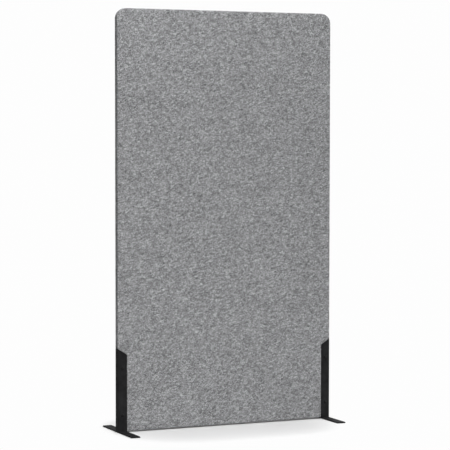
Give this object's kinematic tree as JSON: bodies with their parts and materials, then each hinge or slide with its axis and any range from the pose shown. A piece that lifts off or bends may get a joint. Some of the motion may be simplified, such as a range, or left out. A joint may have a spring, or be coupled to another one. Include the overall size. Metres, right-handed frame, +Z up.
{
  "type": "acoustic divider screen",
  "caption": "Free-standing acoustic divider screen: a felt-covered panel with rounded top corners, held at its lower corners by black folded steel brackets on flat floor bars.",
  "frame": {"origin": "on the floor, under the middle of the panel: the bottom centre of the bounding box", "axes": "+X along the panel's width to the right seen from the front, +Y to the back, +Z up"},
  "size_m": [1, 0.34, 1.78],
  "materials": {
    "timber": "matte",
    "plywood": "matte",
    "beech": "matte",
    "sound_core": "matte",
    "fleece": "matte",
    "grey_felt": "matte",
    "black_tape": "matte",
    "zinc_steel": "satin",
    "black_steel": "matte",
    "black_hardware": "satin",
    "pad_rubber": "matte"
  },
  "bodies": {
    "root": {"frame_stile_left": "timber", "frame_stile_right": "timber", "frame_top_rail": "timber", "frame_middle_rail": "timber", "frame_bottom_rail": "timber", "frame_corner_block_left": "plywood", "frame_corner_block_right": "plywood", "frame_dowels": "beech", "core_slab_upper": "sound_core", "core_slab_lower": "sound_core", "fleece_front": "fleece", "fleece_rear": "fleece", "felt_cover_front": "grey_felt", "felt_cover_rear": "grey_felt", "bottom_strip": "black_tape", "strip_staples": "zinc_steel", "foot_bracket_left": "black_steel", "foot_bracket_right": "black_steel", "base_plate_left": "black_steel", "base_plate_right": "black_steel", "weld_beads_left": "black_steel", "weld_beads_right": "black_steel", "connector_bolts": "black_hardware", "sleeve_nuts": "black_hardware", "floor_pads": "pad_rubber"}
  },
  "joints": []
}
